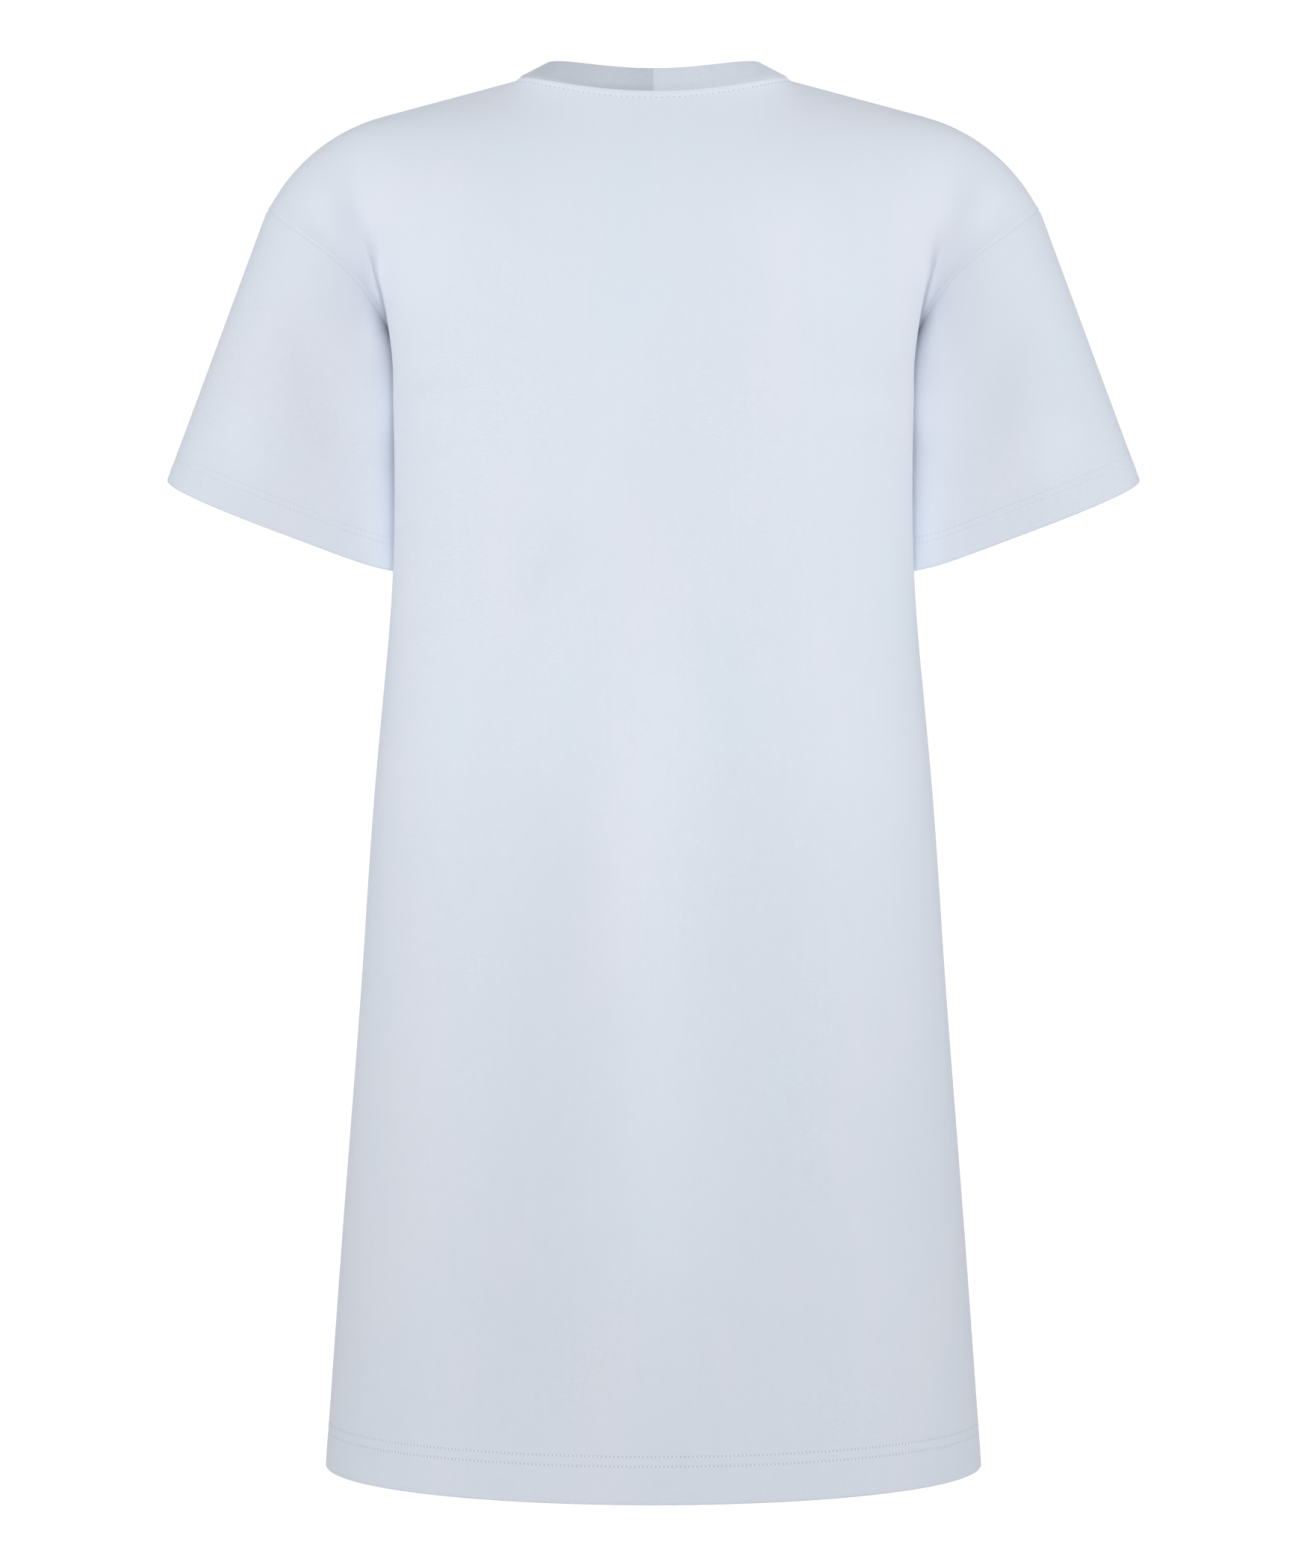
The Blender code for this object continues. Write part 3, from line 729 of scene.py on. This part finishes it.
# Neckband: rib folded along its top, standing up and leaning in from the neck seam
band = {
    "height": 0.023,
    "thickness": 0.003,
    "leanSide": math.radians(62),
    "leanBack": math.radians(40),
    "leanFront": math.radians(35),
    "foldTurns": (0, 15, 30, 45, 60, 80),
    "straightRows": 9,
    "ribPitch": 0.0019,
    "columnsPerRib": 4,
    "ribHeight": 0.00018,
    "paintedShadingAndTone": 0.02,
    "seamShade": 0.14,
    "shadeHeight": 0.008,
    "samples": 2000,
    "ribFade": 0.0025,
}


def neckRing(count):
    # The neck seam once round, from the centre back over the left shoulder
    quarter = cloth["curveSamples"]
    left = np.concatenate([neckLine(False, quarter), neckLine(True, quarter)[-2::-1]])
    ring = np.concatenate([left, left[-2::-1] * np.array([-1, 1, 1])])
    return evenly(ring, count)


def makeNeckband():
    ring = neckRing(band["samples"])
    around = float(np.linalg.norm(np.diff(ring, axis=0), axis=1).sum())
    ribs = int(round(around / band["ribPitch"]))
    ring = neckRing(ribs * band["columnsPerRib"])
    middle = np.array([0, (neck["backReach"] - neck["frontReach"]) / 2, 0])
    along = np.concatenate([ring[1:], ring[1:2]]) - np.concatenate([ring[-2:-1], ring[:-1]])
    along = unit(along)
    roundPart = band["thickness"] / 2
    straight = band["height"] - roundPart
    turns = np.radians([0] * band["straightRows"] + list(band["foldTurns"]))
    rises = list(np.linspace(0, straight, band["straightRows"], endpoint=False))
    rises += [straight + roundPart * math.sin(math.radians(t)) for t in band["foldTurns"]]
    inward = (middle - ring) * np.array([1, 1, 0])
    inward = unit(inward - along * np.sum(inward * along, axis=1, keepdims=True))
    upright = np.cross(along, inward)
    upright *= np.sign(upright[:, 2:3])
    side = np.abs(ring[:, 0]) / neck["halfWidth"]
    centreLean = np.where(ring[:, 1] < 0, band["leanFront"], band["leanBack"])
    lean = (centreLean * (1 - side**2) + band["leanSide"] * side**2)[:, None]
    direction = upright * np.cos(lean) + inward * np.sin(lean)
    surface = ring + np.array(rises)[:, None, None] * direction
    surface = facingOut(surface, True)
    pattern = patternOf(surface, True)
    normals = normalsOf(surface, True)
    setBack = (1 - np.cos(turns)) * roundPart
    k = np.arange(surface.shape[1])
    ribs = (0.5 - 0.5 * np.cos(2 * math.pi * k / band["columnsPerRib"])) * band["ribHeight"]
    fade = smoothStep(0, band["ribFade"], np.array(rises))
    shaped = surface - normals * setBack[:, None, None]
    shaped = shaped + normals * (ribs[None, :] * fade[:, None])[:, :, None]
    shaped[0] -= normals[0] * cloth["seamLines"][0][1]
    walls = band["thickness"] - 2 * setBack
    nearSeam = 1 - smoothStep(0, band["shadeHeight"], np.array(rises))
    paintedShadingAndTone = band["paintedShadingAndTone"] - band["seamShade"] * np.outer(nearSeam, 1 - side**2)
    piece = clothPiece("neckbandRib", shaped, pattern, walls, True, {"paintedShadingAndTone": paintedShadingAndTone})
    sewOn(piece, "neckband")
    return piece, around


neckbandPiece, neckAround = makeNeckband()
print("nightshirt: neckband made,", round(neckAround, 3), "m round")


# Stitches: one small loop of thread, copied along each sewn line. Its way is taken from
# a step ahead and behind, and the row's end keeps free this share of a pitch
thread = {"sides": 6, "rings": 5, "bedded": 0.00008, "step": 0.0005, "endRoom": 0.4}


def stitchShape(length, width):
    bpy.ops.object.select_all(action="DESELECT")
    bpy.ops.mesh.primitive_uv_sphere_add(segments=thread["sides"], ring_count=thread["rings"], radius=0.5)
    one = bpy.context.object
    bpy.ops.object.mode_set(mode="EDIT")
    bpy.ops.mesh.select_all(action="SELECT")
    bpy.ops.transform.rotate(value=math.radians(90), orient_axis="Y", center_override=(0, 0, 0))
    bpy.ops.transform.resize(value=(length, width, width), center_override=(0, 0, 0))
    bpy.ops.object.mode_set(mode="OBJECT")
    return one


def sewnRow(name, lines, pitch, length, width, offset=0):
    # lines are points along the cloth, their normals and the point that it counts from
    one = stitchShape(length, width)
    points = np.array([v.co for v in one.data.vertices])
    faces = [tuple(f.vertices) for f in one.data.polygons]
    bpy.data.objects.remove(one)
    allPoints, allFaces = [], []
    for line, normals, middle in lines:
        run = np.concatenate([[0], np.cumsum(np.linalg.norm(np.diff(line, axis=0), axis=1))])
        first = run[middle] % pitch + offset
        wanted = np.arange(first, run[-1] - pitch * thread["endRoom"], pitch)
        places = np.stack([np.interp(wanted, run, line[:, k]) for k in range(3)], axis=1)
        ups = unit(np.stack([np.interp(wanted, run, normals[:, k]) for k in range(3)], axis=1))
        ahead = np.stack([np.interp(wanted + thread["step"], run, line[:, k]) for k in range(3)], axis=1)
        behind = np.stack([np.interp(wanted - thread["step"], run, line[:, k]) for k in range(3)], axis=1)
        ways = unit(ahead - behind)
        ways = unit(ways - ups * np.sum(ways * ups, axis=1, keepdims=True))
        sides = np.cross(ups, ways)
        for place, way, side, up in zip(places, ways, sides, ups):
            base = len(allPoints) * len(points)
            allPoints.append(place - up * thread["bedded"] + points @ np.array([way, side, up]))
            allFaces += [tuple(i + base for i in face) for face in faces]
    mesh = bpy.data.meshes.new(name)
    mesh.from_pydata(np.concatenate(allPoints).tolist(), [], allFaces)
    mesh.shade_smooth()
    row = bpy.data.objects.new(name, mesh)
    scene.collection.objects.link(row)
    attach(row, "root")
    return row


def lineAtHeight(surface, normals, middle, edge, height):
    # Across the cloth at a height over the hem's fold, on the stitched groove
    sunk = hemShape(np.array([height]), edge)[0]
    k = int(np.argmin(np.abs(np.array(hemHeights(edge)) - height)))
    return surface[k] + normals[k] * sunk, normals[k], middle


def makeStitches():
    rows = []
    centre = backSurface.shape[1] // 2
    panels = ((backSurface, backNormals, centre), (frontSurface, frontNormals, centre))
    sleeves = ((leftSurface, leftNormals, 0), (rightSurface, rightNormals, 0))
    for label, pieces, edge in (("hem", panels, hem), ("cuff", sleeves, cuff)):
        lines = [lineAtHeight(*piece, edge, height) for piece in pieces for height in edge["rowHeights"]]
        size = (hem["stitchLength"], hem["stitchWidth"])
        rows.append(sewnRow(label + "Stitches", lines, edge["stitchPitch"], *size))
    return rows


stitchRows = makeStitches()
print("nightshirt: hem and cuff stitches sewn")


# Neck topstitching, below the neck seam over its turned-down allowance
topstitch = {"below": 0.006, "pitch": 0.0038, "length": 0.0026, "width": 0.0006}
# Small dark dots of painted shade where the needles went in
needleHoleShade = {"length": 0.0010, "width": 0.0007}


def neckStitchLine(surface, normals):
    # Where each column is the set distance below its top end, within the neckline
    middle = surface.shape[1] // 2
    reach = neck["cells"] * cloth["finer"]
    line, ups = [], []
    for k in range(middle - reach, middle + reach + 1):
        column, facing = surface[::-1, k], normals[::-1, k]
        run = np.concatenate([[0], np.cumsum(np.linalg.norm(np.diff(column, axis=0), axis=1))])
        line.append([np.interp(topstitch["below"], run, column[:, j]) for j in range(3)])
        ups.append([np.interp(topstitch["below"], run, facing[:, j]) for j in range(3)])
    return np.array(line), unit(np.array(ups)), reach


neckLines = [neckStitchLine(backSurface, backNormals), neckStitchLine(frontSurface, frontNormals)]
stitchRows.append(
    sewnRow("neckStitches", neckLines, topstitch["pitch"], topstitch["length"], topstitch["width"])
)
# Dots of painted shade at the needle holes, half a pitch off the stitches
neckHoleShades = sewnRow(
    "neckHoleShades", neckLines, topstitch["pitch"], needleHoleShade["length"], needleHoleShade["width"],
    topstitch["pitch"] / 2,
)
print("nightshirt: neck topstitched")


# Materials
jersey = {
    "bluish": (0.690, 0.742, 0.818, 1),
    "pinkish": (0.714, 0.742, 0.814, 1),
    "toneRange": 0.4,
    "patchTone": 0.020,
    "streakTone": 0.010,
    "fibreTone": 0.018,
    "roughness": 0.88,
    "sheen": 0.12,
    "specular": 0.3,
    "across": 0.0011,
    "up": 0.00085,
    "relief": 0.00006,
    # Dimples where the needles went in: height over the hem's fold, gap, half width, their depth and the
    # painted shade in them
    "needleRows": hem["rowHeights"],
    "needlePitch": hem["stitchPitch"],
    "dimple": 0.00056,
    "dimpleDepth": 0.00008,
    "dimpleShade": 0.30,
    # The turned-down neck seam under the cloth: where its edge lies, height, and the painted highlight on
    # it
    "strip": (0.0046, 0.0064, 0.00045, 0.03),
}
sleeveJersey = dict(jersey, needleRows=cuff["rowHeights"], needlePitch=cuff["stitchPitch"], strip=())
sleeveJersey["dimpleShade"] = 0.13
rib = dict(jersey, bluish=(0.684, 0.738, 0.818, 1), pinkish=(0.700, 0.738, 0.816, 1), needleRows=())
rib.update(patchTone=0.014, streakTone=0.03, across=0.00095, up=0.0011, relief=0.00009, strip=())


# Noise in the cloth: how many waves to the metre along each axis, and its detail. Then
# how far the hue spreads, how deeply the knit's loops are parted, and the relief of
# thread, holes and floor, as a share of one wave and its strength
grain = {
    "Patches": ((9.0, 9.0, 6.0), 3.0),
    "Streaks": ((260.0, 9.0, 1.0), 3.0),
    "Fibres": ((1500.0, 700.0, 1.0), 2.0),
    "hue": ((14.0, 14.0, 7.0), 2.0),
    "hueSpread": 2.4,
    "loopDepth": 0.3,
    "threadBump": (0.1, 0.5),
}


def socketGroup(name, inputs, outputs):
    group = bpy.data.node_groups.new(name, "ShaderNodeTree")
    for label, kind, value in inputs:
        socket = group.interface.new_socket(name=label, in_out="INPUT", socket_type=kind)
        if value is not None:
            socket.default_value = value
    for label, kind in outputs:
        group.interface.new_socket(name=label, in_out="OUTPUT", socket_type=kind)
    return group, group.nodes.new("NodeGroupInput"), group.nodes.new("NodeGroupOutput")


def setOrLink(tree, socket, value):
    if isinstance(value, (int, float, tuple)):
        socket.default_value = value
    else:
        tree.links.new(value, socket)


def mathNode(tree, operation, *values):
    node = tree.nodes.new("ShaderNodeMath")
    node.operation = operation
    for socket, value in zip(node.inputs, values):
        setOrLink(tree, socket, value)
    return node.outputs[0]


def noiseNode(tree, vector, scales, detail):
    stretch = tree.nodes.new("ShaderNodeMapping")
    stretch.inputs["Scale"].default_value = scales
    tree.links.new(vector, stretch.inputs["Vector"])
    noise = tree.nodes.new("ShaderNodeTexNoise")
    noise.inputs["Scale"].default_value = 1.0
    noise.inputs["Detail"].default_value = detail
    tree.links.new(stretch.outputs[0], noise.inputs["Vector"])
    return noise.outputs["Fac"]


def knitGroup():
    # Columns of small V-shaped loops, from flat lengths in metres
    inputs = [("Place", "NodeSocketVector", None), ("Across", "NodeSocketFloat", 0.001)]
    inputs.append(("Up", "NodeSocketFloat", 0.0008))
    group, start, end = socketGroup("knitFace", inputs, [("Height", "NodeSocketFloat")])
    split = group.nodes.new("ShaderNodeSeparateXYZ")
    group.links.new(start.outputs["Place"], split.inputs[0])
    x = mathNode(group, "DIVIDE", split.outputs[0], start.outputs["Across"])
    y = mathNode(group, "DIVIDE", split.outputs[1], start.outputs["Up"])
    offMiddle = mathNode(group, "ABSOLUTE", mathNode(group, "SUBTRACT", mathNode(group, "FRACT", x), 0.5))
    leg = mathNode(group, "SINE", mathNode(group, "MULTIPLY", offMiddle, 2 * math.pi))
    turn = mathNode(group, "MULTIPLY", mathNode(group, "ADD", y, offMiddle), 2 * math.pi)
    wave, depth = mathNode(group, "SINE", turn), grain["loopDepth"]
    slant = mathNode(group, "MULTIPLY_ADD", wave, depth, 1 - depth)
    group.links.new(mathNode(group, "MULTIPLY", leg, slant), end.inputs["Height"])
    return group


def toneGroup():
    # The painted light and shade given in as Tone, with the cloth's own broad patches, streaks up the knit
    # and fibres
    inputs = [("Place", "NodeSocketVector", None), ("Flat", "NodeSocketVector", None)]
    inputs += [(name, "NodeSocketFloat", 0.02) for name in ("Tone", "Patches", "Streaks", "Fibres")]
    outputs = [("Tone", "NodeSocketFloat"), ("Hue", "NodeSocketFloat")]
    group, start, end = socketGroup("clothTone", inputs, outputs)
    total = start.outputs["Tone"]
    for label, source in (("Patches", "Place"), ("Streaks", "Flat"), ("Fibres", "Flat")):
        noise = noiseNode(group, start.outputs[source], *grain[label])
        centred = mathNode(group, "SUBTRACT", noise, 0.5)
        scaled = mathNode(group, "MULTIPLY", centred, start.outputs[label])
        total = mathNode(group, "MULTIPLY_ADD", scaled, 2.0, total)
    hue = noiseNode(group, start.outputs["Place"], *grain["hue"])
    centred = mathNode(group, "SUBTRACT", hue, 0.5)
    group.links.new(total, end.inputs["Tone"])
    group.links.new(mathNode(group, "MULTIPLY_ADD", centred, grain["hueSpread"], 0.5), end.inputs["Hue"])
    return group


def colourMix(tree, fac, a, b):
    node = tree.nodes.new("ShaderNodeMix")
    node.data_type = "RGBA"
    # The colour sockets come after the number and vector ones
    setOrLink(tree, node.inputs[0], fac)
    setOrLink(tree, node.inputs[6], a)
    setOrLink(tree, node.inputs[7], b)
    return node.outputs[2]


def needleGroup():
    # A row of small round dimples at one height, half a pitch off the stitches. Its mask dents the bump and
    # carries painted shade
    inputs = [("Flat", "NodeSocketVector", None)]
    inputs += [(name, "NodeSocketFloat", 0.002) for name in ("Height", "Pitch", "Size")]
    group, start, end = socketGroup("needleRow", inputs, [("Mask", "NodeSocketFloat")])
    split = group.nodes.new("ShaderNodeSeparateXYZ")
    group.links.new(start.outputs["Flat"], split.inputs[0])
    step = mathNode(group, "FRACT", mathNode(group, "DIVIDE", split.outputs[0], start.outputs["Pitch"]))
    across = mathNode(group, "MULTIPLY", mathNode(group, "SUBTRACT", step, 0.5), start.outputs["Pitch"])
    across = mathNode(group, "DIVIDE", across, start.outputs["Size"])
    up = mathNode(group, "SUBTRACT", split.outputs[1], start.outputs["Height"])
    up = mathNode(group, "DIVIDE", up, start.outputs["Size"])
    far = mathNode(group, "MULTIPLY_ADD", across, across, mathNode(group, "MULTIPLY", up, up))
    mask = mathNode(group, "EXPONENT", mathNode(group, "MULTIPLY", far, -1.0))
    group.links.new(mask, end.inputs["Mask"])
    return group


knitFace = knitGroup()
clothTone = toneGroup()
needleRow = needleGroup()


def fabricMaterial(name, values):
    material = bpy.data.materials.new(name)
    material.use_nodes = True
    tree = material.node_tree
    shader = tree.nodes["Principled BSDF"]
    place = tree.nodes.new("ShaderNodeTexCoord").outputs["Object"]
    flat = tree.nodes.new("ShaderNodeUVMap")
    flat.uv_map = "UVMap"
    paintedShadeNode = tree.nodes.new("ShaderNodeAttribute")
    paintedShadeNode.attribute_name = "paintedShadingAndTone"
    tones = tree.nodes.new("ShaderNodeGroup")
    tones.node_tree = clothTone
    tree.links.new(place, tones.inputs["Place"])
    tree.links.new(flat.outputs["UV"], tones.inputs["Flat"])
    tree.links.new(paintedShadeNode.outputs["Fac"], tones.inputs["Tone"])
    tones.inputs["Patches"].default_value = values["patchTone"]
    tones.inputs["Streaks"].default_value = values["streakTone"]
    tones.inputs["Fibres"].default_value = values["fibreTone"]
    dimples = 0.0
    for height in values["needleRows"]:
        row = tree.nodes.new("ShaderNodeGroup")
        row.node_tree = needleRow
        tree.links.new(flat.outputs["UV"], row.inputs["Flat"])
        row.inputs["Height"].default_value = height
        row.inputs["Pitch"].default_value = values["needlePitch"]
        row.inputs["Size"].default_value = values["dimple"]
        dimples = mathNode(tree, "ADD", row.outputs["Mask"], dimples)
    # Painted shade in the needle dimples
    paintedShadingAndTone = mathNode(tree, "MULTIPLY_ADD", dimples, -values["dimpleShade"], tones.outputs["Tone"])
    raised = mathNode(tree, "MULTIPLY", dimples, -values["dimpleDepth"] / values["relief"])
    if values["strip"]:
        start, end, stripHeight, stripHighlight = values["strip"]
        below = tree.nodes.new("ShaderNodeAttribute")
        below.attribute_name = "belowNeck"
        ramp = tree.nodes.new("ShaderNodeMapRange")
        ramp.interpolation_type = "SMOOTHSTEP"
        for label, value in (("From Min", start), ("From Max", end), ("To Min", 1.0), ("To Max", 0.0)):
            ramp.inputs[label].default_value = value
        tree.links.new(below.outputs["Fac"], ramp.inputs["Value"])
        strip = ramp.outputs["Result"]
        # Painted highlight on the raised strip over the turned-down neck seam
        paintedShadingAndTone = mathNode(tree, "MULTIPLY_ADD", strip, stripHighlight, paintedShadingAndTone)
        raised = mathNode(tree, "MULTIPLY_ADD", strip, stripHeight / values["relief"], raised)
    reach = values["toneRange"]
    share = mathNode(tree, "MULTIPLY_ADD", paintedShadingAndTone, 0.5 / reach, 0.5)
    ends = []
    for factor in (1 - reach, 1 + reach):
        dark, light = (tuple(c * factor for c in values[k][:3]) + (1,) for k in ("bluish", "pinkish"))
        ends.append(colourMix(tree, tones.outputs["Hue"], dark, light))
    tree.links.new(colourMix(tree, share, *ends), shader.inputs["Base Color"])
    knit = tree.nodes.new("ShaderNodeGroup")
    knit.node_tree = knitFace
    knit.inputs["Across"].default_value = values["across"]
    knit.inputs["Up"].default_value = values["up"]
    tree.links.new(flat.outputs["UV"], knit.inputs["Place"])
    bump = tree.nodes.new("ShaderNodeBump")
    bump.inputs["Distance"].default_value = values["relief"]
    tree.links.new(mathNode(tree, "ADD", knit.outputs["Height"], raised), bump.inputs["Height"])
    tree.links.new(bump.outputs["Normal"], shader.inputs["Normal"])
    shader.inputs["Roughness"].default_value = values["roughness"]
    shader.inputs["Sheen Weight"].default_value = values["sheen"]
    shader.inputs["Specular IOR Level"].default_value = values["specular"]
    return material


def noisyMaterial(name, light, dark, scale, roughness):
    # Thread, the needle holes' painted shade and floor, a little uneven in colour and surface
    material = bpy.data.materials.new(name)
    material.use_nodes = True
    tree = material.node_tree
    shader = tree.nodes["Principled BSDF"]
    place = tree.nodes.new("ShaderNodeTexCoord").outputs["Object"]
    noise = noiseNode(tree, place, (scale, scale, scale), 3.0)
    tree.links.new(colourMix(tree, noise, dark, light), shader.inputs["Base Color"])
    bump = tree.nodes.new("ShaderNodeBump")
    bump.inputs["Distance"].default_value = grain["threadBump"][0] / scale
    bump.inputs["Strength"].default_value = grain["threadBump"][1]
    tree.links.new(noise, bump.inputs["Height"])
    tree.links.new(bump.outputs["Normal"], shader.inputs["Normal"])
    shader.inputs["Roughness"].default_value = roughness
    return material


jerseyMaterial = fabricMaterial("paleBlueJersey", jersey)
sleeveMaterial = fabricMaterial("paleBlueSleeve", sleeveJersey)
ribMaterial = fabricMaterial("paleBlueRib", rib)
threadMaterial = noisyMaterial("paleThread", (0.84, 0.87, 0.92, 1), (0.70, 0.75, 0.84, 1), 2600, 0.6)
holeShadeMaterial = noisyMaterial("needleHoleShade", (0.42, 0.49, 0.62, 1), (0.33, 0.40, 0.53, 1), 2600, 0.9)
floorMaterial = noisyMaterial("paleFloor", (0.86, 0.865, 0.87, 1), (0.80, 0.81, 0.82, 1), 6, 0.8)
dressed = [(backPiece, jerseyMaterial), (frontPiece, jerseyMaterial), (neckbandPiece, ribMaterial)]
dressed += [(leftSleeve, sleeveMaterial), (rightSleeve, sleeveMaterial), (floor, floorMaterial)]
dressed += [(row, threadMaterial) for row in stitchRows] + [(neckHoleShades, holeShadeMaterial)]
for piece, material in dressed:
    piece.data.materials.clear()
    piece.data.materials.append(material)
print("nightshirt: materials made")
